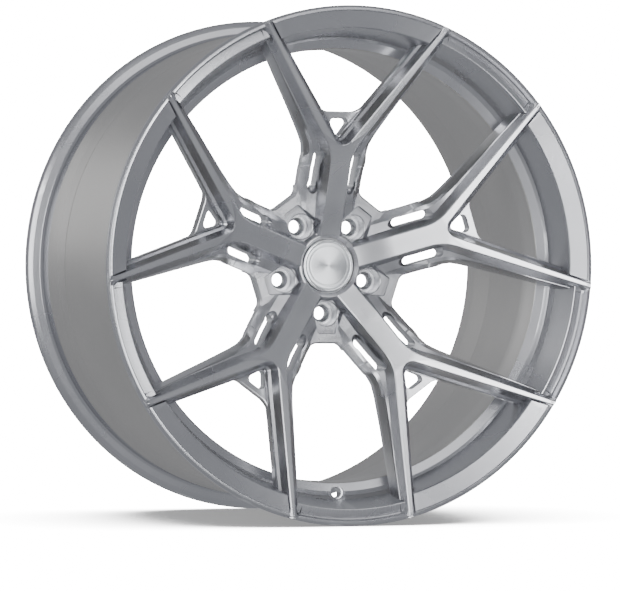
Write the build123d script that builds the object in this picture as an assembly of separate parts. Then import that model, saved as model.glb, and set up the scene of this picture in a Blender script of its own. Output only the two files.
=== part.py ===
from build123d import *
import os
from math import cos, hypot, radians, sin, tan

os.makedirs("parts", exist_ok=True)

# ---------------------------------------------------------------- driving sizes (mm)
# The wheel axis is Y. The hub mounting face is the plane Y = 0, the face of the wheel looks
# along -Y and the barrel runs towards +Y. Depths called "lip" are measured from the front lip.
SPOKES = 5
STEP = 360 / SPOKES
RIM_WIDTH = 304.8
FLANGE_THICK = 11.35
FLANGE_R = 299.3
SEAT_R = 281.8
OFFSET = 40.0
LIP_Y = OFFSET - RIM_WIDTH / 2 - FLANGE_THICK
REAR = RIM_WIDTH + 2 * FLANGE_THICK
BARREL_IN_R = 252.0
BARREL_OUT_R = 258.2
REAR_IN_R = 279.4
JOINT = 80.0
WELD_HALF = 3.0
WELD_DEPTH = 5.4
WELD_ROOT_R = 255.8

LUG_R = 56.0
LUG_HOLE_R = 7.5
LUG_SEAT_R = 10.5
LUG_BORE_R = 14.5
INSERT_R = 13.2
HUB_BORE_R = 36.55
SPIGOT_R = 33.3
HUB_FACE = 123.75
HUB_BORE_DEPTH = 16.0
CAP_BORE_R = 29.5
CAP_R = 31.2
CAP_RECESS_R = 31.7
CAP_LEAD_R = 35.8
CAP_FACE = 89.0
CAP_FLOOR = 95.0
INSERT_FRONT = 110.6
INSERT_BACK = 119.4
VALVE_R = 5.65
VALVE_SPOT_R = 8.4
VALVE_CIRCLE_R = 263.6

SPINE_HALF = 12.5
FLANK_HALF = 39.0
SLOT_NEAR = 18.5
SLOT_FAR = 29.0
SLOT_BOTTOM = 88.0
SLOT_TOP = 133.0
ARM_OUT_ANGLE = 35.05
ARM_IN_ANGLE = 36.7
FLANK_ANGLE = 31.7
FORK_OUT_Z = 131.0
FORK_IN_Z = 132.2
FLANK_BEND_Z = 141.5
ARM_INSIDE_WIDTH = 8.6
WEB_TOP_Z = 179.5
WINDOW_FLOOR_Z = 91.5
RUN_OUT = 320.0
EDGE_BEVEL = 1.4


def lip(depth):
    """Y of a point this far behind the front lip plane."""
    return LIP_Y + depth


def turned(points):
    """Solid of revolution about the wheel axis from (radius, depth behind the lip) corners."""
    outline = Polyline(*[(r, lip(d)) for r, d in points], close=True)
    return revolve(make_face(outline), Axis.Y, 360)


def prism(outline, front, back):
    """Plan outline, drawn looking along +Y as (x, z), carried from one depth to another."""
    plane = Plane(origin=(0, lip(back), 0), x_dir=(1, 0, 0), z_dir=(0, -1, 0))
    return extrude(plane * outline, back - front)


def plan(points):
    """Closed plan face from (x, z) corners."""
    return make_face(Polyline(*points, close=True))


def rounded(face, radius, chosen):
    """Plan face with the chosen corners rounded."""
    return fillet([v for v in face.vertices() if chosen(v.X, v.Y)], radius)


def around(solid, first=0.0):
    """Copies of a solid turned about the wheel axis, one per spoke."""
    return [Rot(0, first + STEP * n, 0) * solid for n in range(SPOKES)]


def lean(z, start_x, start_z, angle):
    """X of a straight edge leaning away from the spoke's centre line."""
    return start_x + (z - start_z) * tan(radians(angle))


# ---------------------------------------------------------------- one forked spoke, drawn upright
arm_out_x = lean(RUN_OUT, SPINE_HALF, FORK_OUT_Z, ARM_OUT_ANGLE)
arm_in_x = lean(RUN_OUT, 0, FORK_IN_Z, ARM_IN_ANGLE)
half_spoke = [
    (0, 0),
    (SPINE_HALF, 0),
    (SPINE_HALF, FORK_OUT_Z),
    (arm_out_x, RUN_OUT),
    (arm_in_x, RUN_OUT),
    (0, FORK_IN_Z),
]
other_half = [(-x, z) for x, z in reversed(half_spoke[1:-1])]
spoke_plan = plan(half_spoke + other_half)
spoke_plan = rounded(spoke_plan, 50, lambda x, z: abs(z - FORK_OUT_Z) < 0.5 and abs(x) > 1)
spoke_plan = rounded(spoke_plan, 12, lambda x, z: abs(x) < 0.1 and z > 100)

# Front skin of the spokes: nearly flat cone with a kink around the hub.
skin = [(0, 95), (38, 84), (71, 69), (111, 55.5), (139.5, 45), (200, 28), (250, 13.5), (298.4, 0.25)]
hub_back = [(232, 47), (200, 55), (150, 79), (112, 97), (92, 107), (78, 120), (72, HUB_FACE), (0, HUB_FACE)]
spoke_back = [(297.8, 1.6), (292, 7), (284, 12), (276, 40), (262, 50)] + hub_back
spoke = turned(skin + spoke_back) & prism(spoke_plan, -5, 130)


def on_skin(edge, surface, tolerance=0.6):
    """True when the middle of an edge lies on a surface given as (radius, depth) corners."""
    centre = edge.center()
    radius = hypot(centre.X, centre.Z)
    for (r0, d0), (r1, d1) in zip(surface, surface[1:]):
        if r0 <= radius <= r1:
            depth = d0 + (d1 - d0) * (radius - r0) / (r1 - r0)
            return abs(centre.Y - lip(depth)) < tolerance
    return False


def follows_spoke(edge):
    """True for the long edges that run out along the spoke, beyond the centre cap."""
    reach = hypot(edge.center().X, edge.center().Z)
    return 33 < reach < 296 and edge.length > 3 and abs(edge.tangent_at(0.5).Z) > 0.3


spoke = chamfer([e for e in spoke.edges() if on_skin(e, skin) and follows_spoke(e)], EDGE_BEVEL)

# Lower level: the flanks beside each spoke, the webs in the forks and the hub between spokes.
flank_skin = [(0, 93), (80, 92.5), (91, 90.5), (101, 82), (112, 75), (139.5, 62), (160, 51),
              (200, 40), (250, 26), (270, 20)]
flank_back = [(270, 44), (262, 46)] + hub_back
disc = turned(flank_skin + flank_back)

# Outer rim section of the forging: flange, conical band, deep wall, stepped ring, bead seat.
ring_step = [(265.2, 49.6), (262.6, 52.6), (253.2, 57.0), (BARREL_IN_R, 58.2), (BARREL_IN_R, 140)]
deep_wall = [(274.6, 9.0), (273.4, 10.8), (266.4, 44.0)] + ring_step
set_back_wall = [(280.2, 6.4), (279.2, 8.0), (269.6, 41.0)] + ring_step
rim = turned([
    (262, 13.8), (293.2, 1.9), (295.2, 0.4), (297.4, 0), (299.0, 0.9), (FLANGE_R, 2.6), (FLANGE_R, 8.0),
    (296.5, 11.0), (288.0, 13.6), (283.6, 16.6), (SEAT_R, 20.5), (280.8, 39.5), (282.0, 42.0),
    (280.2, 44.6), (274.0, 56.0), (266.0, 68.0), (260.4, 75.0), (BARREL_OUT_R, JOINT),
    (BARREL_IN_R, JOINT), (BARREL_IN_R, 50.0), (262, 44)])

# ---------------------------------------------------------------- openings
# Wide window between neighbouring spokes, drawn with its centre line upright.
half_step = radians(STEP / 2)


def from_spoke(x, z):
    """Point of the spoke on the left, seen in the frame of the gap beside it."""
    return (x * cos(half_step) - z * sin(half_step), x * sin(half_step) + z * cos(half_step))


flank_top_x = lean(RUN_OUT, FLANK_HALF, FLANK_BEND_Z, FLANK_ANGLE)
flank_bend = from_spoke(FLANK_HALF, FLANK_BEND_Z)
flank_end = from_spoke(flank_top_x, RUN_OUT)
floor_x = (FLANK_HALF - WINDOW_FLOOR_Z * sin(half_step)) / cos(half_step)
left_side = [(floor_x, WINDOW_FLOOR_Z), flank_bend, flank_end]
wide_window = plan(left_side + [(-x, z) for x, z in reversed(left_side)])
wide_window = rounded(wide_window, 50, lambda x, z: abs(z - flank_bend[1]) < 0.5)
wide_window = rounded(wide_window, 12, lambda x, z: z < WINDOW_FLOOR_Z + 0.5)
wide_cut = prism(wide_window, -5, 135) & turned([(0, -5), (280.2, -5)] + set_back_wall + [(0, 140)])

# Narrow window between the two arms of a fork, and the small hole in the web below it.
web_x = lean(WEB_TOP_Z, 0, FORK_IN_Z, ARM_IN_ANGLE) - ARM_INSIDE_WIDTH / cos(radians(ARM_IN_ANGLE))
arm_top_x = lean(RUN_OUT, 0, FORK_IN_Z, ARM_IN_ANGLE) - ARM_INSIDE_WIDTH / cos(radians(ARM_IN_ANGLE))
narrow_window = plan([(web_x, WEB_TOP_Z), (arm_top_x, RUN_OUT), (-arm_top_x, RUN_OUT), (-web_x, WEB_TOP_Z)])
narrow_window = rounded(narrow_window, 9, lambda x, z: z < WEB_TOP_Z + 0.5)
narrow_cut = prism(narrow_window, -5, 135) & turned([(0, -5), (274.6, -5)] + deep_wall + [(0, 140)])
web_hole = plan([(0, 149.0), (13.8, 171.2), (-13.8, 171.2)])
web_hole = rounded(web_hole, 3.2, lambda x, z: True)
web_cut = prism(web_hole, 5, 135)

# Long slots either side of the spine.
slot_plan = Pos((SLOT_NEAR + SLOT_FAR) / 2, (SLOT_BOTTOM + SLOT_TOP) / 2) * SlotOverall(
    SLOT_TOP - SLOT_BOTTOM, SLOT_FAR - SLOT_NEAR, rotation=90)
slot_cut = prism(slot_plan, 5, 135)

# Lug pockets: six-sided recess, counterbore, seat and through hole.
POCKET_FLOOR = 94.0
POCKET_TAPER = 15.0
pocket_floor_plan = plan([(10.8, 79.4), (16.7, 53.0), (7.6, 40.2), (-7.6, 40.2), (-16.7, 53.0), (-10.8, 79.4)])
pocket_floor_plan = rounded(pocket_floor_plan, 3.0, lambda x, z: True)
pocket_plane = Plane(origin=(0, lip(POCKET_FLOOR), 0), x_dir=(1, 0, 0), z_dir=(0, -1, 0))
pocket_cut = extrude(pocket_plane * pocket_floor_plan, 30, taper=-POCKET_TAPER)


def lug_turned(points):
    """Solid of revolution about the axis of the upright lug hole."""
    return Pos(0, 0, LUG_R) * turned(points)


counterbore = lug_turned([
    (0, POCKET_FLOOR - 1), (LUG_BORE_R + 1.2, POCKET_FLOOR - 1), (LUG_BORE_R + 1.2, POCKET_FLOOR),
    (LUG_BORE_R, POCKET_FLOOR + 1.2), (LUG_BORE_R, INSERT_FRONT), (INSERT_R, INSERT_FRONT),
    (INSERT_R, INSERT_BACK), (LUG_HOLE_R, INSERT_BACK), (LUG_HOLE_R, 130), (0, 130),
])

# Centre: lead-in for the cap, cap bore, hub bore.
hub_floor = HUB_FACE - HUB_BORE_DEPTH
centre_cut = turned([
    (0, 60), (CAP_LEAD_R, 60), (CAP_LEAD_R, 85.4), (CAP_RECESS_R, CAP_FACE), (CAP_RECESS_R, CAP_FLOOR),
    (CAP_BORE_R, CAP_FLOOR), (CAP_BORE_R, hub_floor - 3), (CAP_BORE_R + 1.4, hub_floor - 1.4),
    (CAP_BORE_R + 1.4, hub_floor), (HUB_BORE_R, hub_floor), (HUB_BORE_R, HUB_FACE - 1.4), (HUB_BORE_R + 1.4, HUB_FACE),
    (HUB_BORE_R + 1.4, 130), (0, 130),
])

# Groove behind the lip in the wide sectors, and shallow gaps beside the arms where they cross.
groove = turned([(290.4, -1), (294.6, -1), (294.0, 4.6), (291.0, 4.6)])
ARM_GAP = 2.2
arm_groove = turned([(262, -1), (295.5, -1), (295.5, 2.6), (292, 5.0), (262, 16)])
arm_groove = arm_groove & prism(offset(spoke_plan, ARM_GAP), -5, 60)
sector_edge = from_spoke(lean(180, SPINE_HALF, FORK_OUT_Z, ARM_OUT_ANGLE), 180)
sector_top = from_spoke(arm_out_x, RUN_OUT)
wide_sector = plan([sector_edge, sector_top, (-sector_top[0], sector_top[1]), (-sector_edge[0], sector_edge[1])])
wide_sector_block = prism(wide_sector, -5, 60)

# Valve hole in the lowest wide sector.
valve_cut = Pos(0, 0, -VALVE_CIRCLE_R) * turned([
    (0, 40), (VALVE_SPOT_R, 40), (VALVE_SPOT_R, 54.8), (VALVE_R + 0.8, 55.6), (VALVE_R, 56.4),
    (VALVE_R, 78), (0, 78)])

# ---------------------------------------------------------------- forged face
forging = disc + rim
for cut in around(wide_cut, STEP / 2) + around(narrow_cut) + around(web_cut):
    forging = forging - cut
for cut in around(groove & wide_sector_block, STEP / 2) + around(arm_groove):
    forging = forging - cut
for blade in around(spoke):
    forging = forging + blade
for cut in around(slot_cut) + around(mirror(slot_cut, Plane.YZ)):
    forging = forging - cut
for cut in around(pocket_cut, STEP / 2) + around(counterbore, STEP / 2):
    forging = forging - cut
forging = forging - centre_cut - valve_cut

# ---------------------------------------------------------------- rim barrel
barrel = turned([
    (BARREL_IN_R, JOINT), (BARREL_OUT_R, JOINT), (BARREL_OUT_R, 98.0), (276.4, 236.0), (278.4, 262.0),
    (282.0, 286.4), (280.8, 290.0), (SEAT_R, 309.5), (284.0, 313.0), (292.0, 315.6), (297.4, 318.4),
    (FLANGE_R, 321.0), (FLANGE_R, 324.6), (298.0, 327.0), (295.6, REAR), (281.0, REAR),
    (REAR_IN_R, REAR - 0.8), (278.2, 322.0), (275.2, 293.0), (273.4, 289.0), (270.8, 236.0),
    (270.3, 234.6), (252.4, 98.0), (BARREL_IN_R, 96.0)])

# V groove at the joint, filled by the weld bead.
groove_mouth_r = WELD_ROOT_R + WELD_DEPTH
weld_groove = turned([
    (groove_mouth_r, JOINT - WELD_HALF), (groove_mouth_r, JOINT + WELD_HALF), (WELD_ROOT_R, JOINT)])
bead_half = WELD_HALF * (BARREL_OUT_R - WELD_ROOT_R) / WELD_DEPTH
weld = turned([
    (WELD_ROOT_R, JOINT), (BARREL_OUT_R, JOINT + bead_half), (BARREL_OUT_R + 0.6, JOINT + 0.8),
    (BARREL_OUT_R + 0.8, JOINT), (BARREL_OUT_R + 0.6, JOINT - 0.8), (BARREL_OUT_R, JOINT - bead_half)])
barrel = barrel - weld_groove
forging = forging - weld_groove

# ---------------------------------------------------------------- lug seat inserts
SEAT_DEPTH = 5.2
insert = lug_turned([
    (LUG_SEAT_R, INSERT_FRONT), (INSERT_R, INSERT_FRONT), (INSERT_R, INSERT_BACK),
    (LUG_HOLE_R, INSERT_BACK), (LUG_HOLE_R, INSERT_FRONT + SEAT_DEPTH)])
lug_inserts = Compound(children=around(insert, STEP / 2))

# ---------------------------------------------------------------- hub centring ring
RING_CLEAR = 0.05
RING_FRONT = hub_floor + 1.0
RING_BACK = HUB_FACE - 1.6
hub_ring = turned([
    (SPIGOT_R, RING_FRONT), (HUB_BORE_R - RING_CLEAR, RING_FRONT), (HUB_BORE_R - RING_CLEAR, RING_BACK),
    (SPIGOT_R + 1.2, RING_BACK), (SPIGOT_R, RING_BACK - 1.2)])

# ---------------------------------------------------------------- centre cap
SKIRT_OUT = 27.4
SKIRT_IN = 25.4
SKIRT_END = 99.0
CLIPS = 6
CLIP_WIDTH = 9.0
CLIP_THICK = 1.6
CLIP_END = 107.5
HOOK_FRONT = 104.6
HOOK_R = 29.1
DISC_R = 27.2
cap_shell = turned([
    (0, CAP_FACE + 2.6), (DISC_R, CAP_FACE + 2.6), (DISC_R, CAP_FACE + 0.5), (27.8, CAP_FACE + 0.5),
    (CAP_R, CAP_FACE + 2.2), (CAP_R, CAP_FLOOR - 0.4), (SKIRT_OUT, CAP_FLOOR - 0.4),
    (SKIRT_OUT, SKIRT_END), (SKIRT_IN, SKIRT_END), (SKIRT_IN, CAP_FLOOR - 0.4), (0, CAP_FLOOR - 0.4)])
leg_middle = SKIRT_OUT - CLIP_THICK / 2
leg = plan([(-CLIP_WIDTH / 2, SKIRT_OUT - CLIP_THICK), (CLIP_WIDTH / 2, SKIRT_OUT - CLIP_THICK),
            (CLIP_WIDTH / 2, SKIRT_OUT - 0.2), (-CLIP_WIDTH / 2, SKIRT_OUT - 0.2)])
hook = plan([(-CLIP_WIDTH / 2, leg_middle), (CLIP_WIDTH / 2, leg_middle),
             (CLIP_WIDTH / 2, 30), (-CLIP_WIDTH / 2, 30)])
hook_limit = turned([(0, HOOK_FRONT), (SKIRT_OUT, HOOK_FRONT), (HOOK_R, HOOK_FRONT + 0.8),
                     (HOOK_R, HOOK_FRONT + 1.4), (SKIRT_OUT, CLIP_END), (0, CLIP_END)])
clip = prism(leg, SKIRT_END - 1, CLIP_END) + (prism(hook, HOOK_FRONT, CLIP_END) & hook_limit)
for turn in range(CLIPS):
    cap_shell = cap_shell + Rot(0, turn * 360 / CLIPS, 0) * clip

cap_bezel = turned([
    (27.8, CAP_FACE - 0.2), (28.4, CAP_FACE - 1.2), (29.6, CAP_FACE - 1.5), (30.6, CAP_FACE - 0.9),
    (CAP_R, CAP_FACE + 0.5), (CAP_R, CAP_FACE + 2.2), (27.8, CAP_FACE + 0.5)])
cap_disc = turned([
    (0, CAP_FACE - 0.9), (26.2, CAP_FACE - 0.6), (DISC_R, CAP_FACE + 0.1), (DISC_R, CAP_FACE + 2.6),
    (0, CAP_FACE + 2.6)])

# Round wire ring that presses the clips outwards from inside.
WIRE_R = 0.9
wire_ring_r = SKIRT_OUT - CLIP_THICK - WIRE_R
spring_ring = Pos(0, lip(103.0), 0) * Rot(90, 0, 0) * Torus(wire_ring_r, WIRE_R)

pieces = {
    "forged_face": forging,
    "rim_barrel": barrel,
    "barrel_weld": weld,
    "lug_inserts": lug_inserts,
    "hub_ring": hub_ring,
    "cap_shell": cap_shell,
    "cap_bezel": cap_bezel,
    "cap_disc": cap_disc,
    "cap_spring_ring": spring_ring,
}
for name, shape in pieces.items():
    export_step(shape, f"parts/{name}.step")
    print(name, shape.is_valid, len(shape.solids()), round(shape.volume / 1000), "cm3")
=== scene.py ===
import bmesh
import bpy
from math import asin, atan2, ceil, cos, degrees, hypot, pi, radians, sin, tan
from mathutils import Matrix, Vector


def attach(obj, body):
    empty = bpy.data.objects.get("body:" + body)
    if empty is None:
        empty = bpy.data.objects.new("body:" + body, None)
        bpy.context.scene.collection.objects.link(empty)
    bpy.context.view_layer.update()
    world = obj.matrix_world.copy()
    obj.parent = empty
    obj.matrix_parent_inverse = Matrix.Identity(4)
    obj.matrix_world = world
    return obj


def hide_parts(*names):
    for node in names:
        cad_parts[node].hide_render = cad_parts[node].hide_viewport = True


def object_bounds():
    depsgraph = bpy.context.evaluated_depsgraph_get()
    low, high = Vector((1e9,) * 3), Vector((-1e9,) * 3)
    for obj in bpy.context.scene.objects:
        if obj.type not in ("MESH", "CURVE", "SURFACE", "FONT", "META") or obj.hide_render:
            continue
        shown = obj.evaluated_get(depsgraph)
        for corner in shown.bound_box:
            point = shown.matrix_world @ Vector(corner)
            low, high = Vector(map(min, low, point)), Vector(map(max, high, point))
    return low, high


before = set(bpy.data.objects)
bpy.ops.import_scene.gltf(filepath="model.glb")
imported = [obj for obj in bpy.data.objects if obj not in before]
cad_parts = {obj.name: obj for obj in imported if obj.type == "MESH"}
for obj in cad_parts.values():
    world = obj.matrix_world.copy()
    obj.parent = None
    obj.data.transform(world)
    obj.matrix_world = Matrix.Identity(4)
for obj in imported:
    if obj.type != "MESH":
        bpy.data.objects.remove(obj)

bl_info = {
    "name": "Forged racing wheel",
    "version": (1, 0, 0),
    "blender": (4, 5, 0),
    "location": "3D View > Sidebar > Wheel",
    "description": "Builds a forged wheel with forked spokes, its barrel, lug seats and centre cap",
    "category": "Add Mesh",
}

CAD_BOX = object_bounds()
MM = 0.001
HUB_FACE = 123.75
SPOKES = 5
STEP = 2 * pi / SPOKES
HALF_STEP = STEP / 2


# ---------------------------------------------------------------- small helpers
def place(x, z, depth):
    """A point given in millimetres, with its depth counted from the front lip, in metres."""
    return Vector((x * MM, (depth - HUB_FACE) * MM, z * MM))


def along(table, value):
    """Reads a table of (position, value) corners with straight runs between them."""
    if value <= table[0][0]:
        return table[0][1]
    for (p0, v0), (p1, v1) in zip(table, table[1:]):
        if value <= p1:
            return v0 + (v1 - v0) * (value - p0) / (p1 - p0)
    return table[-1][1]


def deselect():
    if bpy.context.mode != "OBJECT":
        bpy.ops.object.mode_set(mode="OBJECT")
    bpy.ops.object.select_all(action="DESELECT")


def activate(obj):
    deselect()
    obj.select_set(True)
    bpy.context.view_layer.objects.active = obj


def mesh_object(name, points, faces):
    """A closed mesh from points and faces, triangulated, with its normals outwards."""
    mesh = bpy.data.meshes.new(name)
    mesh.from_pydata([tuple(p) for p in points], [], faces)
    obj = bpy.data.objects.new(name, mesh)
    bpy.context.scene.collection.objects.link(obj)
    tidy(obj)
    return obj


def tidy(obj, triangles=True, gap=0.000004):
    """Merges doubles and turns the faces outwards."""
    work = bmesh.new()
    work.from_mesh(obj.data)
    bmesh.ops.remove_doubles(work, verts=work.verts, dist=gap)
    bmesh.ops.dissolve_degenerate(work, dist=gap / 2, edges=work.edges)
    bmesh.ops.delete(work, geom=[e for e in work.edges if not e.link_faces], context="EDGES")
    if triangles:
        bmesh.ops.triangulate(work, faces=work.faces)
    bmesh.ops.recalc_face_normals(work, faces=work.faces)
    work.to_mesh(obj.data)
    work.free()


def rounded(corners, default=0.0, step=7.0):
    """Rounds the corners of a closed outline. Each corner is (a, b) or (a, b, radius)."""
    result = []
    count = len(corners)
    for i, corner in enumerate(corners):
        here = Vector(corner[:2])
        radius = corner[2] if len(corner) > 2 else default
        before = Vector(corners[i - 1][:2]) - here
        after = Vector(corners[(i + 1) % count][:2]) - here
        if radius <= 0:
            result.append(tuple(here))
            continue
        angle = before.angle(after)
        reach = radius / tan(angle / 2)
        centre = here + (before.normalized() + after.normalized()).normalized() * radius / sin(angle / 2)
        start = here + before.normalized() * reach - centre
        end = here + after.normalized() * reach - centre
        parts = max(2, ceil(degrees(pi - angle) / step))
        turn = atan2(start.x * end.y - start.y * end.x, start.dot(end))
        for k in range(parts + 1):
            a = turn * k / parts
            result.append((centre.x + start.x * cos(a) - start.y * sin(a),
                           centre.y + start.x * sin(a) + start.y * cos(a)))
    return result


def spun(name, outline, steps=288, centre=(0, 0)):
    """Spins a closed (radius, depth) outline about an axis parallel to the wheel's."""
    mesh = bpy.data.meshes.new(name)
    points = [place(centre[0] + r, centre[1], d) for r, d in outline]
    mesh.from_pydata(points, [(i, (i + 1) % len(points)) for i in range(len(points))], [])
    obj = bpy.data.objects.new(name, mesh)
    bpy.context.scene.collection.objects.link(obj)
    activate(obj)
    bpy.ops.object.mode_set(mode="EDIT")
    bpy.ops.mesh.select_all(action="SELECT")
    bpy.ops.mesh.spin(steps=steps, angle=2 * pi, center=place(centre[0], centre[1], HUB_FACE),
                      axis=(0, 1, 0))
    bpy.ops.mesh.select_all(action="SELECT")
    bpy.ops.mesh.remove_doubles(threshold=0.000004)
    bpy.ops.mesh.normals_make_consistent(inside=False)
    bpy.ops.object.mode_set(mode="OBJECT")
    return obj


def prism(name, rings):
    """A closed body through rings of equal count, each a list of (x, z, depth)."""
    count = len(rings[0])
    points = [place(*p) for ring in rings for p in ring]
    faces = []
    for k in range(len(rings) - 1):
        for i in range(count):
            j = (i + 1) % count
            faces.append((k * count + i, k * count + j, (k + 1) * count + j, (k + 1) * count + i))
    faces.append(tuple(range(count)))
    faces.append(tuple(range((len(rings) - 1) * count, len(rings) * count)))
    return mesh_object(name, points, faces)


def grown(outline, amount):
    """A closed outline moved outwards, corner by corner."""
    count = len(outline)
    area = sum(outline[i - 1][0] * outline[i][1] - outline[i][0] * outline[i - 1][1] for i in range(count))
    side = 1 if area > 0 else -1
    result = []
    for i in range(count):
        here = Vector(outline[i])
        a = (here - Vector(outline[i - 1])).normalized()
        b = (Vector(outline[(i + 1) % count]) - here).normalized()
        na = Vector((a.y, -a.x)) * side
        nb = Vector((b.y, -b.x)) * side
        middle = (na + nb).normalized()
        result.append(tuple(here + middle * amount / max(0.3, middle.dot(na))))
    return result


def drafted(name, outline, levels):
    """A prism whose outline grows by a given amount at each (depth, growth) level."""
    return prism(name, [[(x, z, depth) for x, z in grown(outline, growth)] for depth, growth in levels])


def turned_copies(obj, first=0.0, count=SPOKES):
    """Copies of a piece turned about the wheel axis, with the turn placed in each mesh."""
    copies = []
    for n in range(count):
        other = obj.copy()
        other.data = obj.data.copy()
        other.data.transform(Matrix.Rotation(first + n * 2 * pi / count, 4, "Y"))
        bpy.context.scene.collection.objects.link(other)
        copies.append(other)
    bpy.data.objects.remove(obj)
    return copies


def joined(objects, name):
    activate(objects[0])
    for obj in objects:
        obj.select_set(True)
    bpy.ops.object.join()
    result = bpy.context.view_layer.objects.active
    result.name = name
    return result


def combine(target, tools, operation):
    """Applies one boolean modifier per tool and removes the tools."""
    for tool in tools:
        activate(target)
        change = target.modifiers.new("Combine", "BOOLEAN")
        change.operation = operation
        change.solver = "MANIFOLD"
        change.object = tool
        bpy.ops.object.modifier_apply(modifier=change.name)
        bpy.data.objects.remove(tool)
    return target


# ---------------------------------------------------------------- the forked spoke
SKIN = [(0, 95), (38, 84), (71, 69), (139.5, 45), (299.3, 0)]
SPINE_HALF = 12.5
FORK_OUT_Z = 131.0
FORK_IN_Z = 132.2
ARM_OUT = radians(35.05)
ARM_IN = radians(36.7)
OUT_BEND = 50.0
IN_BEND = 12.0
TIP_R = 298.6
SPINE_STATIONS = (24, 32, 42, 53, 62, 69.9, 78, 88, 100)
ARM_STEPS_NEAR = 8
ARM_STEPS_FAR = 16

# Spread beyond the face edge and depth below the face skin, read by radius, for the edges that
# run along the outer side of a spoke: wall foot, slot side, crest, ledge and back.
OUTER_SPREAD = (
    [(127, 6.0), (145, 6.0), (172, 6.9), (240, 7.0), (298, 4.6)],
    [(127, 16.5), (138, 14.6), (145, 12.6), (154, 10.8), (172, 9.0), (200, 8.2), (240, 7.6), (298, 5.0)],
    [(127, 21.0), (138, 19.2), (145, 16.6), (154, 13.4), (172, 11.2), (211, 9.3), (240, 8.2), (298, 5.6)],
    [(127, 27.0), (138, 25.2), (145, 22.0), (154, 17.2), (165, 15.4), (172, 14.8), (211, 12.5), (249, 10.4),
     (298, 7.4)],
    [(127, 26.4), (138, 24.8), (145, 21.8), (154, 17.2), (165, 15.5), (172, 15.0), (211, 12.8), (249, 10.6),
     (298, 7.5)],
)
OUTER_DEPTH = (
    [(118, 19.5), (140, 14.5), (172, 10.0), (298, 8.5)],
    [(118, 20.0), (140, 16.0), (172, 11.6), (200, 10.2), (240, 9.2), (298, 8.6)],
    [(118, 20.6), (140, 18.4), (172, 15.8), (200, 13.4), (240, 10.6), (298, 9.0)],
    [(118, 26.5), (150, 26.0), (200, 25.0), (298, 24.0)],
    [(118, 41.0), (150, 36.0), (200, 31.0), (298, 29.0)],
)
# Depths behind the front lip of the same five edges, where the spoke nears the hub.
NEAR_HUB = 118.0
HUB_DEPTH = (
    [(38, 90.5), (54.5, 87.5), (63.2, 86.0), (71, 85.0), (79, 83.6), (88.9, 81.0), (100.8, 77.2),
     (116, 73.0), (118, 72.0)],
    [(38, 93.0), (54.5, 91.0), (63.2, 89.6), (71, 88.4), (79, 87.0), (88.9, 84.4), (100.8, 79.2),
     (116, 73.4), (118, 72.2)],
    [(38, 94.0), (54.5, 93.0), (63.2, 92.4), (71, 91.8), (79, 90.8), (88.9, 87.8), (100.8, 81.6),
     (116, 74.0), (118, 72.6)],
    [(38, 95.0), (63.2, 94.0), (79, 93.4), (88.9, 92.4), (100.8, 87.6), (116, 79.4), (118, 78.2)],
    [(38, 112.0), (79, 109.0), (88.9, 105.5), (100.8, 100.0), (116, 93.6), (118, 92.8)],
)
# The same for the side of an arm that faces into the fork.
INNER_SPREAD = (
    [(0, 2.2), (170, 2.6), (298, 2.4)], [(0, 4.6), (170, 5.2), (298, 4.8)],
    [(0, 7.6), (170, 8.2), (298, 7.5)],
    [(0, 9.0), (170, 9.7), (298, 8.7)], [(0, 9.6), (170, 10.3), (298, 9.2)],
)
INNER_DEPTH = (
    [(0, 8.6), (298, 7.6)], [(0, 14.4), (298, 13.0)], [(0, 17.4), (298, 15.9)], [(0, 20.0), (298, 18.4)],
    [(0, 30.0), (200, 28.5), (298, 28.0)],
)
EDGE_IN = 1.25
EDGE_DOWN = 0.95
RIM_LIMIT = [(236, 130), (250, 60), (268, 50), (278, 36), (283, 14), (292, 8), (298.6, 1.8)]


def skin(x, z):
    return along(SKIN, hypot(x, z))


def outer_path():
    """Points and outward directions along the outer edge of a spoke's face."""
    stations = [(SPINE_HALF, z, 1.0, 0.0) for z in SPINE_STATIONS]
    reach = OUT_BEND * tan(ARM_OUT / 2)
    start_z = FORK_OUT_Z - reach
    for k in range(10):
        a = ARM_OUT * k / 9
        stations.append((SPINE_HALF + OUT_BEND * (1 - cos(a)), start_z + OUT_BEND * sin(a), cos(a),
                         -sin(a)))
    x, z = stations[-1][:2]
    run = 0.0
    while hypot(x + run * sin(ARM_OUT), z + run * cos(ARM_OUT)) < TIP_R:
        run += 0.05
    near = [3.4 * (k + 1) for k in range(ARM_STEPS_NEAR)]
    far = [near[-1] + (run - near[-1]) * (k + 1) / ARM_STEPS_FAR for k in range(ARM_STEPS_FAR)]
    for s in near + far:
        stations.append((x + s * sin(ARM_OUT), z + s * cos(ARM_OUT), cos(ARM_OUT), -sin(ARM_OUT)))
    return stations


def inner_path(count, apex):
    """Points and directions along the fork side, matched to the outer path by position in the list."""
    bend_z = FORK_IN_Z + IN_BEND / sin(ARM_IN)
    sweep = pi / 2 - ARM_IN
    arc = ARM_STEPS_NEAR
    stations = []
    for k in range(arc + 1):
        a = sweep * k / arc
        stations.append((IN_BEND * sin(a), bend_z - IN_BEND * cos(a), -sin(a), cos(a)))
    x, z = stations[-1][:2]
    run = 0.0
    while hypot(x + run * sin(ARM_IN), z + run * cos(ARM_IN)) < TIP_R:
        run += 0.05
    rest = count - apex - arc - 1
    for k in range(rest):
        s = run * (k + 1) / rest
        stations.append((x + s * sin(ARM_IN), z + s * cos(ARM_IN), -cos(ARM_IN), sin(ARM_IN)))
    return stations


def rail_point(station, spread, below):
    """A point beside a station, never deeper than the rim section leaves room for."""
    x = station[0] + station[2] * spread
    z = station[1] + station[3] * spread
    back = min(1.0, TIP_R / hypot(x, z))
    x, z = x * back, z * back
    depth = min(skin(x, z) + below, max(along(RIM_LIMIT, hypot(x, z)), skin(x, z) + 0.02))
    return (x, z, depth)


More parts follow.
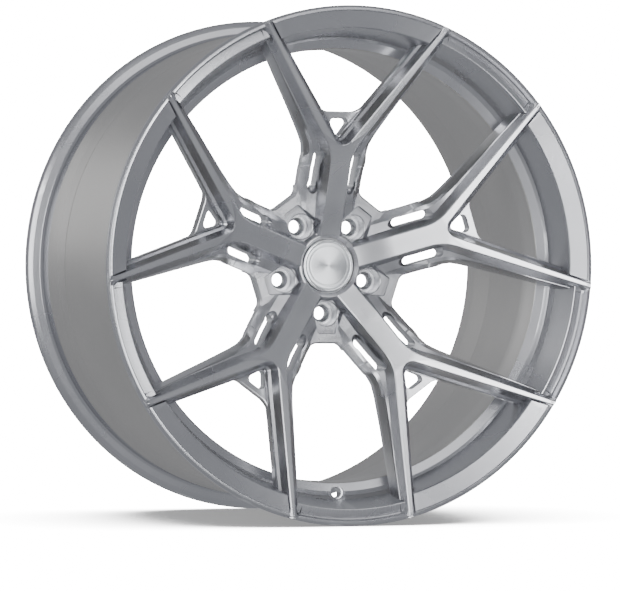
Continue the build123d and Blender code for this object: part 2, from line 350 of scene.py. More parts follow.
def spoke_shell(name):
    """One forked spoke as a closed body, pointing up."""
    outer = outer_path()
    apex = len(SPINE_STATIONS) + 8
    inner = inner_path(len(outer), apex)
    rows = []
    for i, station in enumerate(outer):
        reach = hypot(station[0], station[1])
        row = [rail_point(station, -EDGE_IN, 0.0), rail_point(station, 0.0, EDGE_DOWN)]
        for spread, below, near in zip(OUTER_SPREAD, OUTER_DEPTH, HUB_DEPTH):
            point = rail_point(station, along(spread, reach), along(below, reach))
            if reach < NEAR_HUB:
                point = (point[0], point[1], along(near, reach))
            row.append(point)
        if i < apex:
            z = min(station[1], FORK_IN_Z + 6.0)
            inside = [(0.0, z, skin(0, z))] * (len(INNER_SPREAD) + 2) + [(0.0, z, row[-1][2])]
        else:
            other = inner[i - apex]
            away = hypot(other[0], other[1])
            inside = [rail_point(other, -EDGE_IN, 0.0), rail_point(other, 0.0, EDGE_DOWN)]
            for spread, below in zip(INNER_SPREAD, INNER_DEPTH):
                inside.append(rail_point(other, along(spread, away), along(below, away)))
            inside.insert(1, inside[0])
        rows.append((row, inside))
    points = []
    faces = []

    def add(p):
        points.append(place(*p))
        return len(points) - 1

    table = [([add(p) for p in row], [add(p) for p in inside]) for row, inside in rows]
    for (row, inside), (row2, inside2) in zip(table, table[1:]):
        faces.append((inside[0], inside2[0], row2[0], row[0]))
        for k in range(len(row) - 1):
            faces.append((row[k], row2[k], row2[k + 1], row[k + 1]))
        faces.append((row[-1], row2[-1], inside2[-1], inside[-1]))
    for (row, inside), (row2, inside2) in zip(table[apex:], table[apex + 1:]):
        for k in range(len(inside) - 1):
            faces.append((inside[k + 1], inside2[k + 1], inside2[k], inside[k]))
    first = table[0]
    faces.append(tuple(first[0] + [first[1][-1], first[1][0]]))
    last = table[-1]
    faces.append(tuple(last[0] + list(reversed(last[1]))))
    half = len(points)
    points += [Vector((-p.x, p.y, p.z)) for p in points]
    faces += [tuple(half + k for k in reversed(face)) for face in faces]
    return mesh_object(name, points, faces)


# ---------------------------------------------------------------- hub, webs and rim section
WINDOW_FLOOR = 91.5
FLANK_HALF = 39.4


def hub_outline():
    """Plan of the hub between the spokes: five flat sides with rounded inside corners."""
    side = (cos(HALF_STEP), sin(HALF_STEP))
    corner = ((FLANK_HALF - WINDOW_FLOOR * sin(HALF_STEP)) / cos(HALF_STEP), WINDOW_FLOOR)
    far = 10.0
    outline = []
    for n in range(SPOKES):
        left = (corner[0] - far * sin(HALF_STEP), corner[1] + far * cos(HALF_STEP))
        run = rounded([(0, 0), left, (*corner, 12.0), (-corner[0], corner[1], 12.0),
                       (-left[0], left[1])])[1:]
        turn = HALF_STEP + n * STEP
        for x, z in reversed(run):
            outline.append((x * cos(turn) - z * sin(turn), x * sin(turn) + z * cos(turn)))
    return outline


WEB_TOP = 179.4


def web_plate(name):
    """The bar across a fork with the plate below it, behind the arms."""
    outline = rounded([(0, 128), (37, 178), (36.4, 194.2), (31.5, 191.1), (22.9, WEB_TOP, 15),
                       (-22.9, WEB_TOP, 15), (-31.5, 191.1), (-36.4, 194.2), (-37, 178)])

    def level(growth, below, lift):
        return [(x, z, skin(x, z) + below - lift * min(1, max(0, (z - WEB_TOP) / 6)))
                for x, z in grown(outline, growth)]

    return prism(name, [level(-1.1, 22.6, 1.0), level(-0.3, 23.0, 1.0), level(0.0, 23.8, 1.0),
                        level(0.5, 36.5, 8.0)])


RIM_OUTLINE = [
    (274.6, 8.9, 0.8), (293.0, 1.9, 0.4), (293.8, 0.05, 0.4), (296.6, 0.75, 2.0), (299.3, 3.3, 1.0),
    (299.3, 8.6, 2.4), (296.5, 11.2, 2.0), (288.0, 13.6, 4.0), (283.4, 16.6, 3.0), (281.8, 20.5),
    (280.8, 39.5, 1.5),
    (282.0, 42.0, 1.5), (280.2, 44.6, 2.0), (274.0, 56.0, 10), (266.0, 68.0, 8), (260.2, 75.6, 6),
    (258.2, 80.0),
    (252.0, 80.0), (252.0, 58.4, 0.3), (253.0, 57.2, 0.8), (262.2, 52.8, 2.0), (265.2, 49.8, 1.6),
    (266.4, 44.0, 6),
    (273.4, 10.8, 0.6),
]


def arm_angle(radius, gap):
    """Half the angle between the arms either side of a wide gap, kept a gap away from them."""
    clear = abs(SPINE_HALF * cos(ARM_OUT) - FORK_OUT_Z * sin(ARM_OUT))
    return asin((clear - gap) / radius) + (HALF_STEP - ARM_OUT)


def fork_angle(radius, gap):
    """Half the angle inside a fork, kept a gap away from its arms."""
    clear = FORK_IN_Z * sin(ARM_IN)
    return ARM_IN - asin((clear + gap) / radius)


def arc_body(name, outline, half_angle, gap, parts=48):
    """A ring section swept between two arms, pointing up. Its ends run alongside the arms."""
    rings = []
    for k in range(parts + 1):
        share = 2 * k / parts - 1
        ring = []
        for r, d in outline:
            a = half_angle(r, gap) * share
            ring.append((r * sin(a), r * cos(a), d))
        rings.append(ring)
    return prism(name, rings)


# ---------------------------------------------------------------- lug pockets and other cuts
LUG_R = 56.0
POCKET_FLOOR = 94.0
POCKET = [(10.8, 79.2, 3.2), (16.7, 53.0, 3.4), (7.8, 40.2, 3.4), (-7.8, 40.2, 3.4), (-16.7, 53.0, 3.4),
          (-10.8, 79.2, 3.2)]
COUNTERBORE = [(0, 60), (15.6, 60), (15.6, 93.9), (15.3, 94.9), (14.6, 95.4), (14.6, 110.6), (13.2, 110.6),
               (13.2, 119.4),
               (7.5, 119.4), (7.5, 122.6), (8.8, 124.2), (8.8, 130), (0, 130)]
CENTRE = [(0, 50), (36.1, 50), (36.1, 84.9), (32.7, 88.5), (32.5, 95.0), (29.5, 95.0), (29.5, 104.7),
          (30.9, 106.3),
          (30.9, 107.7), (36.5, 107.7), (36.5, 122.4), (38.0, 124.0), (38.0, 130), (0, 130)]
SLOT = ((18.6, 29.0), (90.0, 133.0))
VALVE_CIRCLE = 263.6
VALVE = [(0, 40), (8.5, 40), (8.5, 54.7), (7.9, 55.3), (6.5, 55.5), (5.65, 56.5), (5.65, 80), (0, 80)]


def capsule(x0, x1, z0, z1, parts=14):
    radius = (x1 - x0) / 2
    middle = (x0 + x1) / 2
    outline = []
    for centre, start in (((middle, z1 - radius), 0.0), ((middle, z0 + radius), pi)):
        for k in range(parts + 1):
            a = start + pi * k / parts
            outline.append((centre[0] + radius * cos(a), centre[1] + radius * sin(a)))
    return outline


def slot_cutter(name):
    outline = capsule(*SLOT[0], *SLOT[1])
    top = [(x, z, skin(x, z) + 8.0) for x, z in grown(outline, 1.2)]
    edge = [(x, z, skin(x, z) + 22.0) for x, z in outline]
    back = [(x, z, skin(x, z) + 60) for x, z in grown(outline, -0.5)]
    return prism(name, [top, edge, back])


def scoop_cutter(name):
    """Round-nosed cut that leads into the hub end of a slot."""
    activate_none()
    bpy.ops.mesh.primitive_uv_sphere_add(segments=64, ring_count=32, radius=1.0)
    obj = bpy.context.object
    obj.name = name
    centre = place(23.8, 92.5, 79.4)
    lean = Matrix.Rotation(radians(-24), 3, "X")
    for v in obj.data.vertices:
        v.co = lean @ Vector((v.co.x * 6.4 * MM, v.co.y * 9.0 * MM, v.co.z * 12.5 * MM)) + centre
    tidy(obj)
    return obj


def activate_none():
    deselect()
    bpy.context.view_layer.objects.active = None


def mirrored(obj):
    other = obj.copy()
    other.data = obj.data.copy()
    bpy.context.scene.collection.objects.link(other)
    other.data.transform(Matrix.Scale(-1, 4, (1, 0, 0)))
    other.data.flip_normals()
    return other


def shade(obj, angle):
    activate(obj)
    bpy.ops.object.shade_smooth_by_angle(angle=radians(angle))


def build_face():
    spokes = turned_copies(spoke_shell("spoke"))
    plan = hub_outline()
    hub = drafted("hub", plan, [(91.4, -2.2), (93.4, 0.0), (106.4, 0.0), (107.4, -1.0)])
    collar = spun("collar", [(28.8, 90.0), (35.9, 84.9), (36.8, 85.0), (38.2, 86.4), (41.2, 93.0),
                             (41.2, 100.0), (28.8, 100.0)], 144)
    core = spun("core", [(0.0, 92.4), (84.0, 92.4), (90.0, 106.8), (84.0, 112.5), (77.0, 120.4),
                         (73.4, 123.2),
                         (71.8, 123.75), (0.0, 123.75)], 180)
    face = spun("face", rounded(RIM_OUTLINE), 288)
    tidy(face)
    tidy(core)

    # Wide gaps: set-back wall and the gutter behind the lip. Both kinds of gap: grooves beside the arms.
    set_back = arc_body("set_back", [(255, -6), (280.3, -6), (280.3, 6.0), (279.6, 7.4), (270.4, 41.0),
                                     (266.6, 48.4),
                                     (262.0, 52.9), (255, 40)], arm_angle, 3.2)
    groove = arc_body("groove", [(278.6, -2), (294.5, -2), (293.9, 0.5), (292.7, 6.6), (291.8, 8.5),
                                 (290.4, 9.1),
                                 (280.5, 6.5), (279.8, 6.6), (278.6, 8.0)], arm_angle, 0.6)
    gap_out = arc_pair("gap_out", arm_angle, 0.4, 3.0)
    gap_in = arc_pair("gap_in", fork_angle, 0.3, 2.2)
    cuts = []
    for tool in (set_back, groove, gap_out):
        cuts += turned_copies(tool, HALF_STEP)
    cuts += turned_copies(gap_in)
    combine(face, cuts, "DIFFERENCE")
    combine(face, spokes + [hub, core, collar] + turned_copies(web_plate("web")), "UNION")

    # Cuts through the finished star.
    triangle = rounded([(0, 148.6, 4.6), (14.2, 171.6, 4.8), (-14.2, 171.6, 4.8)], step=8)
    web_hole = prism("web_hole", [[(x, z, skin(x, z) + 14) for x, z in grown(triangle, 3.2)],
                                  [(x, z, skin(x, z) + 24.6) for x, z in triangle],
                                  [(x, z, skin(x, z) + 60) for x, z in triangle]])
    cuts = turned_copies(web_hole)
    slot = slot_cutter("slot")
    scoop = scoop_cutter("scoop")
    for tool in (slot, scoop):
        cuts += turned_copies(mirrored(tool))
        cuts += turned_copies(tool)
    pocket_outline = rounded(POCKET, step=8)
    pocket = drafted("pocket", pocket_outline, [(60.0, 9.4), (POCKET_FLOOR - 1.2, 0.5),
                                                (POCKET_FLOOR - 0.3, 0.1),
                                               (POCKET_FLOOR, -0.5)])
    bore = spun("bore", COUNTERBORE, 96, (0, LUG_R))
    tidy(bore)
    cuts += turned_copies(pocket, HALF_STEP) + turned_copies(bore, HALF_STEP)
    centre = spun("centre", CENTRE, 144)
    tidy(centre)
    valve = spun("valve", VALVE, 64, (0, -VALVE_CIRCLE))
    tidy(valve)
    combine(face, cuts + [centre, valve], "DIFFERENCE")
    tidy(face, triangles=False, gap=0.000002)
    return face


def arc_pair(name, half_angle, near, far):
    """Two shallow gaps in the rim beside the arms that bound one opening."""
    pieces = []
    for side in (1, -1):
        rings = []
        for r in (268, 276, 286, 293, 296.4):
            top = along([(268, 0), (296.4, -3)], r)
            floor = along([(268, 15.5), (276, 12.4), (292, 5.6), (296.4, 2.2)], r)
            ring = []
            for gap, d in ((near - 3, top - 4), (near - 3, floor), (far - 0.7, floor), (far, floor - 3.0),
                           (far + 0.8, top - 4)):
                a = half_angle(r, gap) * side
                ring.append((r * sin(a), r * cos(a), d))
            rings.append(ring)
        pieces.append(prism(name, rings))
    return joined(pieces, name)


# ---------------------------------------------------------------- barrel and cap
BARREL = [
    (252.0, 80.0), (258.2, 80.0), (258.2, 98.0, 20), (276.4, 235.8, 1), (276.9, 237.0, 1),
    (278.4, 262.0, 30),
    (281.9, 284.6, 2), (282.2, 287.0, 1.2), (280.8, 290.0, 2), (281.8, 309.5, 2), (284.0, 313.0, 3),
    (292.0, 315.6, 4),
    (297.2, 318.6, 3), (299.3, 321.6, 2.4), (299.3, 325.4, 2.2), (296.4, 327.5, 1.6), (281.2, 327.5, 0.8),
    (279.4, 326.4, 0.8),
    (278.2, 321.6, 2), (276.0, 291.2, 0.6), (273.1, 288.8, 0.6), (270.9, 236.4, 0.2), (270.1, 234.6, 0.2),
    (252.4, 98.2, 20),
    (252.0, 96.0),
]
BEZEL = [(27.5, 89.6), (27.6, 88.9, 0.2), (28.3, 87.9, 0.4), (29.2, 87.5, 0.6), (30.2, 87.8, 0.7),
         (31.0, 88.9, 0.7),
         (31.2, 91.2, 0.1), (28.0, 91.2, 0.1)]
DISC = [(0, 88.1), (8, 88.1), (22.6, 88.25, 1.0), (23.1, 88.6, 0.2), (24.1, 88.6, 0.2), (24.6, 88.3, 0.2),
        (26.4, 88.4, 0.4),
        (27.2, 89.2, 0.2), (27.2, 91.6), (0, 91.6)]


def build_barrel():
    barrel = spun("barrel", rounded(BARREL), 288)
    shade(barrel, 22)
    return barrel


# ---------------------------------------------------------------- materials
def new_material(name):
    """A node material with a plain Principled shader, and its node tree."""
    material = bpy.data.materials.new(name)
    material.use_nodes = True
    tree = material.node_tree
    return material, tree, tree.nodes["Principled BSDF"]


def socket(group, name, kind, direction, default=None):
    made = group.interface.new_socket(name=name, in_out=direction, socket_type=kind)
    if default is not None:
        made.default_value = default


def finish_group():
    """Flake, cloudiness, a painted highlight on convex edges and painted shade in creases for the metal
    finishes: a colour tone, a roughness and a height.
    """
    group = bpy.data.node_groups.new("Metal finish", "ShaderNodeTree")
    socket(group, "Flake size", "NodeSocketFloat", "INPUT", 2600.0)
    socket(group, "Cloud size", "NodeSocketFloat", "INPUT", 9.0)
    socket(group, "Dark", "NodeSocketColor", "INPUT", (0.5, 0.5, 0.5, 1))
    socket(group, "Light", "NodeSocketColor", "INPUT", (0.7, 0.7, 0.7, 1))
    socket(group, "Smooth", "NodeSocketFloat", "INPUT", 0.25)
    socket(group, "Rough", "NodeSocketFloat", "INPUT", 0.4)
    socket(group, "Edge highlight", "NodeSocketFloat", "INPUT", 0.25)
    socket(group, "Color", "NodeSocketColor", "OUTPUT")
    socket(group, "Roughness", "NodeSocketFloat", "OUTPUT")
    socket(group, "Height", "NodeSocketFloat", "OUTPUT")
    nodes, links = group.nodes, group.links
    given = nodes.new("NodeGroupInput")
    result = nodes.new("NodeGroupOutput")
    place_node = nodes.new("ShaderNodeTexCoord")
    flake = nodes.new("ShaderNodeTexVoronoi")
    links.new(place_node.outputs["Object"], flake.inputs["Vector"])
    links.new(given.outputs["Flake size"], flake.inputs["Scale"])
    cloud = nodes.new("ShaderNodeTexNoise")
    cloud.inputs["Detail"].default_value = 4
    links.new(place_node.outputs["Object"], cloud.inputs["Vector"])
    links.new(given.outputs["Cloud size"], cloud.inputs["Scale"])
    blend = nodes.new("ShaderNodeMath")
    blend.operation = "MULTIPLY_ADD"
    blend.inputs[1].default_value = 0.35
    links.new(flake.outputs["Color"], blend.inputs[0])
    links.new(cloud.outputs["Fac"], blend.inputs[2])
    spread = nodes.new("ShaderNodeMapRange")
    spread.inputs["From Min"].default_value = 0.42
    spread.inputs["From Max"].default_value = 0.95
    links.new(blend.outputs[0], spread.inputs["Value"])
    tone = nodes.new("ShaderNodeMix")
    tone.data_type = "RGBA"
    links.new(spread.outputs["Result"], tone.inputs["Factor"])
    links.new(given.outputs["Dark"], tone.inputs["A"])
    links.new(given.outputs["Light"], tone.inputs["B"])
    shape = nodes.new("ShaderNodeNewGeometry")
    # Convex edges, found by pointiness, are mixed towards near-white: a painted highlight along the edges.
    edge = nodes.new("ShaderNodeMapRange")
    edge.inputs["From Min"].default_value = 0.505
    edge.inputs["From Max"].default_value = 0.58
    links.new(shape.outputs["Pointiness"], edge.inputs["Value"])
    edge_highlight_weight = nodes.new("ShaderNodeMath")
    edge_highlight_weight.operation = "MULTIPLY"
    links.new(edge.outputs["Result"], edge_highlight_weight.inputs[0])
    links.new(given.outputs["Edge highlight"], edge_highlight_weight.inputs[1])
    # Concave creases, found by pointiness, darken the tone to 0.8: painted shade in the creases.
    crease_shade = nodes.new("ShaderNodeMapRange")
    crease_shade.inputs["From Min"].default_value = 0.47
    crease_shade.inputs["From Max"].default_value = 0.495
    crease_shade.inputs["To Min"].default_value = 0.8
    links.new(shape.outputs["Pointiness"], crease_shade.inputs["Value"])
    crease_shaded_tone = nodes.new("ShaderNodeVectorMath")
    crease_shaded_tone.operation = "SCALE"
    links.new(tone.outputs["Result"], crease_shaded_tone.inputs[0])
    links.new(crease_shade.outputs["Result"], crease_shaded_tone.inputs["Scale"])
    painted_edge_highlight = nodes.new("ShaderNodeMix")
    painted_edge_highlight.data_type = "RGBA"
    painted_edge_highlight.inputs["B"].default_value = (0.93, 0.94, 0.95, 1)
    links.new(edge_highlight_weight.outputs[0], painted_edge_highlight.inputs["Factor"])
    links.new(crease_shaded_tone.outputs["Vector"], painted_edge_highlight.inputs["A"])
    links.new(painted_edge_highlight.outputs["Result"], result.inputs["Color"])
    rough = nodes.new("ShaderNodeMapRange")
    links.new(cloud.outputs["Fac"], rough.inputs["Value"])
    rough.inputs["From Min"].default_value = 0.3
    rough.inputs["From Max"].default_value = 0.7
    links.new(given.outputs["Smooth"], rough.inputs["To Min"])
    links.new(given.outputs["Rough"], rough.inputs["To Max"])
    links.new(rough.outputs["Result"], result.inputs["Roughness"])
    links.new(flake.outputs["Distance"], result.inputs["Height"])
    return group


def metal(name, group, dark, light, smooth, rough, edge=0.2, flake=2600.0, cloud=9.0, bump=0.04,
          metallic=1.0, coat=0.0,
          coat_rough=0.08):
    material, tree, shader = new_material(name)
    nodes, links = tree.nodes, tree.links
    finish = nodes.new("ShaderNodeGroup")
    finish.node_tree = group
    finish.inputs["Flake size"].default_value = flake
    finish.inputs["Cloud size"].default_value = cloud
    finish.inputs["Dark"].default_value = (*dark, 1)
    finish.inputs["Light"].default_value = (*light, 1)
    finish.inputs["Smooth"].default_value = smooth
    finish.inputs["Rough"].default_value = rough
    # The edge value sets how strongly convex edges get the painted highlight.
    finish.inputs["Edge highlight"].default_value = edge
    relief = nodes.new("ShaderNodeBump")
    relief.inputs["Strength"].default_value = bump
    relief.inputs["Distance"].default_value = 0.0003
    links.new(finish.outputs["Height"], relief.inputs["Height"])
    links.new(finish.outputs["Color"], shader.inputs["Base Color"])
    links.new(finish.outputs["Roughness"], shader.inputs["Roughness"])
    links.new(relief.outputs["Normal"], shader.inputs["Normal"])
    shader.inputs["Metallic"].default_value = metallic
    shader.inputs["Coat Weight"].default_value = coat
    shader.inputs["Coat Roughness"].default_value = coat_rough
    return material


def turned_metal(name, group, dark, light, smooth, rough, rings, bump, anisotropy=0.0):
    """Metal with fine lathe rings about the wheel axis."""
    material = metal(name, group, dark, light, smooth, rough, 0.1, 3000, 20, 0.02)
    nodes, links = material.node_tree.nodes, material.node_tree.links
    shader = nodes["Principled BSDF"]
    where = nodes.new("ShaderNodeTexCoord")
    wave = nodes.new("ShaderNodeTexWave")
    wave.wave_type = "RINGS"
    wave.rings_direction = "Y"
    wave.inputs["Scale"].default_value = rings
    wave.inputs["Distortion"].default_value = 0.6
    wave.inputs["Detail"].default_value = 2
    links.new(where.outputs["Object"], wave.inputs["Vector"])
    relief = nodes.new("ShaderNodeBump")
    relief.inputs["Strength"].default_value = bump
    relief.inputs["Distance"].default_value = 0.0001
    links.new(wave.outputs["Fac"], relief.inputs["Height"])
    links.new(relief.outputs["Normal"], shader.inputs["Normal"])
    if anisotropy:
        shader.inputs["Anisotropic"].default_value = anisotropy
        tangent = nodes.new("ShaderNodeTangent")
        tangent.direction_type = "RADIAL"
        tangent.axis = "Y"
        links.new(tangent.outputs["Tangent"], shader.inputs["Tangent"])
    return material


def plastic(name, colour, rough):
    material, tree, shader = new_material(name)
    nodes, links = tree.nodes, tree.links
    where = nodes.new("ShaderNodeTexCoord")
    grain = nodes.new("ShaderNodeTexNoise")
    grain.inputs["Scale"].default_value = 900
    links.new(where.outputs["Object"], grain.inputs["Vector"])
    tone = nodes.new("ShaderNodeMix")
    tone.data_type = "RGBA"
    tone.inputs["A"].default_value = (*[c * 0.75 for c in colour], 1)
    tone.inputs["B"].default_value = (*[c * 1.3 for c in colour], 1)
    links.new(grain.outputs["Fac"], tone.inputs["Factor"])
    links.new(tone.outputs["Result"], shader.inputs["Base Color"])
    relief = nodes.new("ShaderNodeBump")
    relief.inputs["Strength"].default_value = 0.1
    relief.inputs["Distance"].default_value = 0.0002
    links.new(grain.outputs["Fac"], relief.inputs["Height"])
    links.new(relief.outputs["Normal"], shader.inputs["Normal"])
    shader.inputs["Roughness"].default_value = rough
    return material


def dress(obj, material):
    obj.data.materials.clear()
    obj.data.materials.append(material)


def finish_piece(obj, name, node, body, material):
    obj.name = name
    obj.data.name = name
    dress(obj, material)
    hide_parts(node)
    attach(obj, body)


# ---------------------------------------------------------------- settings
class WheelFinish(bpy.types.PropertyGroup):
    """Colours and sizes that a user would change."""

    silver: bpy.props.FloatVectorProperty(name="Silver", description="Lacquer on the forged face",
                                          subtype="COLOR",
                                          size=3, default=(0.52, 0.525, 0.55), min=0, max=1)
    barrel: bpy.props.FloatVectorProperty(name="Barrel", description="Satin coat of the barrel",
                                          subtype="COLOR",
                                          size=3, default=(0.56, 0.55, 0.535), min=0, max=1)
    disc: bpy.props.FloatVectorProperty(name="Cap disc", description="Brushed disc of the centre cap",
                                        subtype="COLOR",
                                        size=3, default=(0.78, 0.80, 0.82), min=0, max=1)
    lens: bpy.props.FloatProperty(name="Lens", description="Focal length of the camera", default=212.41,
                                  min=20, max=400)
    floor_tone: bpy.props.FloatProperty(name="Floor tone", description="Lightness of the studio floor",
                                        default=0.5,
                                        min=0, max=1)


def tinted(colour, factor):
    return tuple(min(1.0, c * factor) for c in colour)


GROUPS = {}


def metal_group():
    if "finish" not in GROUPS:
        GROUPS["finish"] = finish_group()
    return GROUPS["finish"]


def silver_finish(look):
    if "silver" not in GROUPS:
        GROUPS["silver"] = metal("Silver lacquer", metal_group(), tinted(look.silver, 0.93),
                                 tinted(look.silver, 1.05), 0.25,
                                 0.31, edge=0.5, bump=0.05, coat=0.35, coat_rough=0.12)
    return GROUPS["silver"]


def satin_finish(look):
    if "satin" not in GROUPS:
        GROUPS["satin"] = metal("Satin barrel", metal_group(), tinted(look.barrel, 0.95),
                                tinted(look.barrel, 1.05), 0.38,
                                0.45, edge=0.1, flake=1500, bump=0.06, metallic=0.9)
    return GROUPS["satin"]


def second_finish(obj, material, inside):
    """Gives the faces inside a range of (radius, depth) a second finish."""
    obj.data.materials.append(material)
    for face in obj.data.polygons:
        radius = hypot(face.center.x, face.center.z) / MM
        depth = face.center.y / MM + HUB_FACE
        if inside(radius, depth):
            face.material_index = 1


# ---------------------------------------------------------------- operators
class WHEEL_OT_face(bpy.types.Operator):
    """Forged face with its spokes, hub, lug pockets and outer rim section"""

    bl_idname = "wheel.face"
    bl_label = "Forged face"

    def execute(self, context):
        look = context.scene.wheel_finish
        face = build_face()
        shade(face, 10)
        finish_piece(face, "face_detail", "forged_face", "wheel", silver_finish(look))
        second_finish(face, satin_finish(look), lambda radius,
                      depth: radius < 252.8 and depth > 57.5 and radius > 251)
        return {"FINISHED"}


class WHEEL_OT_barrel(bpy.types.Operator):
    """Barrel with drop centre and rear flange, and the weld that joins it to the face"""

    bl_idname = "wheel.barrel"
    bl_label = "Barrel"

    def execute(self, context):
        look = context.scene.wheel_finish
        barrel = build_barrel()
        finish_piece(barrel, "barrel_detail", "rim_barrel", "wheel", satin_finish(look))
        second_finish(barrel, silver_finish(look), lambda radius, depth: depth > 289.5 and radius > 280)
        weld = turned_metal("Weld", metal_group(), (0.42, 0.41, 0.40), (0.55, 0.54, 0.52), 0.35, 0.5, 400,
                            0.3)
        dress(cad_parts["barrel_weld"], weld)
        return {"FINISHED"}


class WHEEL_OT_seats(bpy.types.Operator):
    """Turned finish of the lug seats and moulded finish of the centring ring"""

    bl_idname = "wheel.seats"
    bl_label = "Lug seats and centring ring"

    def execute(self, context):
        seat = metal("Turned seat", metal_group(), (0.62, 0.63, 0.65), (0.72, 0.73, 0.75), 0.22, 0.32)
        dress(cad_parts["lug_inserts"], seat)
        dress(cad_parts["hub_ring"], plastic("Ring plastic", (0.03, 0.03, 0.033), 0.5))
        return {"FINISHED"}


class WHEEL_OT_cap(bpy.types.Operator):
    """Centre cap with its polished ring and brushed disc"""

    bl_idname = "wheel.cap"
    bl_label = "Centre cap"

    def execute(self, context):
        look = context.scene.wheel_finish
        bezel = spun("bezel", rounded(BEZEL, step=10), 144)
        shade(bezel, 30)
        trim = metal("Polished trim", metal_group(), (0.86, 0.87, 0.88), (0.92, 0.93, 0.94), 0.10, 0.16,
                     bump=0.01)
        finish_piece(bezel, "bezel_detail", "cap_bezel", "cap", trim)
        disc = spun("disc", rounded(DISC, step=10), 144)
        tidy(disc)
        shade(disc, 14)
        brushed = turned_metal("Brushed disc", metal_group(), tinted(look.disc, 0.92),
                               tinted(look.disc, 1.06), 0.28, 0.36,
                               520, 0.12, anisotropy=0.85)
        finish_piece(disc, "disc_detail", "cap_disc", "cap", brushed)
        dress(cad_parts["cap_shell"], plastic("Cap plastic", (0.05, 0.05, 0.055), 0.42))
        wire = metal("Spring wire", metal_group(), (0.40, 0.40, 0.41), (0.50, 0.50, 0.51), 0.25, 0.35)
        dress(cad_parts["cap_spring_ring"], wire)
        return {"FINISHED"}


CAMERA = {"azimuth": -20.948, "elevation": 0.41, "roll": 0.634, "distance": 4.17757}


def aim_camera(lens):
    a, e, roll = (radians(CAMERA[k]) for k in ("azimuth", "elevation", "roll"))
    back = Vector((sin(a) * cos(e), -cos(a) * cos(e), sin(e)))
    right = Vector((cos(a), sin(a), 0))
    up = back.cross(right)
    side = right * cos(roll) + up * sin(roll)
    top = up * cos(roll) - right * sin(roll)
    target = place(-56.7, -34.42, 0)
    camera = bpy.data.objects.new("Camera", bpy.data.cameras.new("Camera"))
    camera.matrix_world = Matrix((side, top, back)).transposed().to_4x4()
    camera.location = target + back * CAMERA["distance"]
    camera.data.lens = lens
    camera.data.sensor_width = 36
    camera.data.clip_end = 60
    bpy.context.scene.collection.objects.link(camera)
    bpy.context.scene.camera = camera


def soft_box(name, place_at, look_at, size, power, colour=(1, 1, 1)):
    lamp = bpy.data.lights.new(name, "AREA")
    lamp.shape = "RECTANGLE"
    lamp.size, lamp.size_y = size
    lamp.energy = power
    lamp.color = colour
    obj = bpy.data.objects.new(name, lamp)
    obj.location = place_at
    obj.rotation_euler = (Vector(look_at) - Vector(place_at)).to_track_quat("-Z", "Y").to_euler()
    bpy.context.scene.collection.objects.link(obj)


def studio_world(tone):
    """Dim room light for the wheel, white paper behind it for the eye."""
    world = bpy.data.worlds.new("Studio")
    world.use_nodes = True
    bpy.context.scene.world = world
    nodes, links = world.node_tree.nodes, world.node_tree.links
    room = nodes["Background"]
    room.inputs["Strength"].default_value = tone
    room.inputs["Color"].default_value = (0.93, 0.95, 1.0, 1)
    paper = nodes.new("ShaderNodeBackground")
    paper.inputs["Color"].default_value = (1, 1, 1, 1)
    paper.inputs["Strength"].default_value = 22
    seen = nodes.new("ShaderNodeLightPath")
    choose = nodes.new("ShaderNodeMixShader")
    links.new(seen.outputs["Is Camera Ray"], choose.inputs["Fac"])
    links.new(room.outputs["Background"], choose.inputs[1])
    links.new(paper.outputs["Background"], choose.inputs[2])
    links.new(choose.outputs["Shader"], nodes["World Output"].inputs["Surface"])


def floor_material(tone):
    """White paper floor that glows to the eye, with a painted contact shadow that darkens it close to the
    wheel.
    """
    material, tree, shader = new_material("Studio floor")
    nodes, links = tree.nodes, tree.links
    shader.inputs["Base Color"].default_value = (tone, tone, tone, 1)
    shader.inputs["Roughness"].default_value = 0.7
    seen = nodes.new("ShaderNodeLightPath")
    # Ambient occlusion dims the floor's glow near the wheel: a painted contact shadow.
    near = nodes.new("ShaderNodeAmbientOcclusion")
    near.samples = 24
    near.inputs["Distance"].default_value = 0.32
    contact_shadow = nodes.new("ShaderNodeMapRange")
    contact_shadow.inputs["From Min"].default_value = 0.35
    contact_shadow.inputs["From Max"].default_value = 0.98
    contact_shadow.inputs["To Min"].default_value = 0.25
    contact_shadow.inputs["To Max"].default_value = 22.0
    links.new(near.outputs["AO"], contact_shadow.inputs["Value"])
    glow = nodes.new("ShaderNodeMath")
    glow.operation = "MULTIPLY"
    links.new(contact_shadow.outputs["Result"], glow.inputs[0])
    links.new(seen.outputs["Is Camera Ray"], glow.inputs[1])
    shader.inputs["Emission Color"].default_value = (1, 1, 1, 1)
    links.new(glow.outputs[0], shader.inputs["Emission Strength"])
    return material


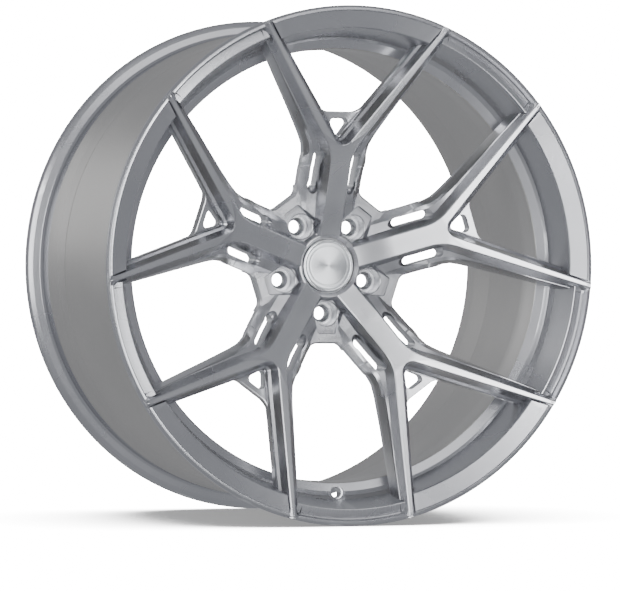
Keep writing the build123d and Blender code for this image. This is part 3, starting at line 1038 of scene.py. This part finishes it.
class WHEEL_OT_stage(bpy.types.Operator):
    """Pale floor, soft studio light and the camera"""

    bl_idname = "wheel.stage"
    bl_label = "Studio"

    def execute(self, context):
        look = context.scene.wheel_finish
        low = CAD_BOX[0][2]
        activate_none()
        bpy.ops.mesh.primitive_plane_add(size=30, location=(0, 0, low))
        floor = bpy.context.object
        floor.name = "floor"
        dress(floor, floor_material(look.floor_tone))
        # The floor is kept out of the wheel's reflections and casts no shadow itself.
        floor.visible_glossy = False
        floor.visible_shadow = False
        studio_world(0.42)
        soft_box("Key box", (0.02, -4.0, 0.15), (0, 0, 0), (1.6, 3.0), 115)
        soft_box("Left box", (-3.06, -2.57, 0.4), (0, 0, 0), (1.15, 2.2), 44)
        soft_box("Top box", (0.3, -2.9, 2.7), (0, 0, 0), (3.4, 1.2), 18)
        soft_box("Side box", (-2.6, 3.6, 1.2), (0, 0, 0), (2.4, 2.0), 14)
        aim_camera(look.lens)
        return {"FINISHED"}


class WHEEL_PT_panel(bpy.types.Panel):
    """Lists the pieces of the wheel"""

    bl_label = "Forged wheel"
    bl_idname = "WHEEL_PT_panel"
    bl_space_type = "VIEW_3D"
    bl_region_type = "UI"
    bl_category = "Wheel"

    def draw(self, context):
        look = context.scene.wheel_finish
        for name in ("silver", "barrel", "disc", "lens", "floor_tone"):
            self.layout.prop(look, name)
        for operator in OPERATORS:
            self.layout.operator(operator.bl_idname)


OPERATORS = (WHEEL_OT_face, WHEEL_OT_barrel, WHEEL_OT_seats, WHEEL_OT_cap, WHEEL_OT_stage)
CLASSES = (WheelFinish,) + OPERATORS + (WHEEL_PT_panel,)


def register():
    for item in CLASSES:
        bpy.utils.register_class(item)
    bpy.types.Scene.wheel_finish = bpy.props.PointerProperty(type=WheelFinish)


def unregister():
    del bpy.types.Scene.wheel_finish
    for item in reversed(CLASSES):
        bpy.utils.unregister_class(item)


def main():
    register()
    deselect()
    bpy.ops.wheel.face()
    bpy.ops.wheel.barrel()
    bpy.ops.wheel.seats()
    bpy.ops.wheel.cap()
    bpy.ops.wheel.stage()


if __name__ == "__main__":
    main()
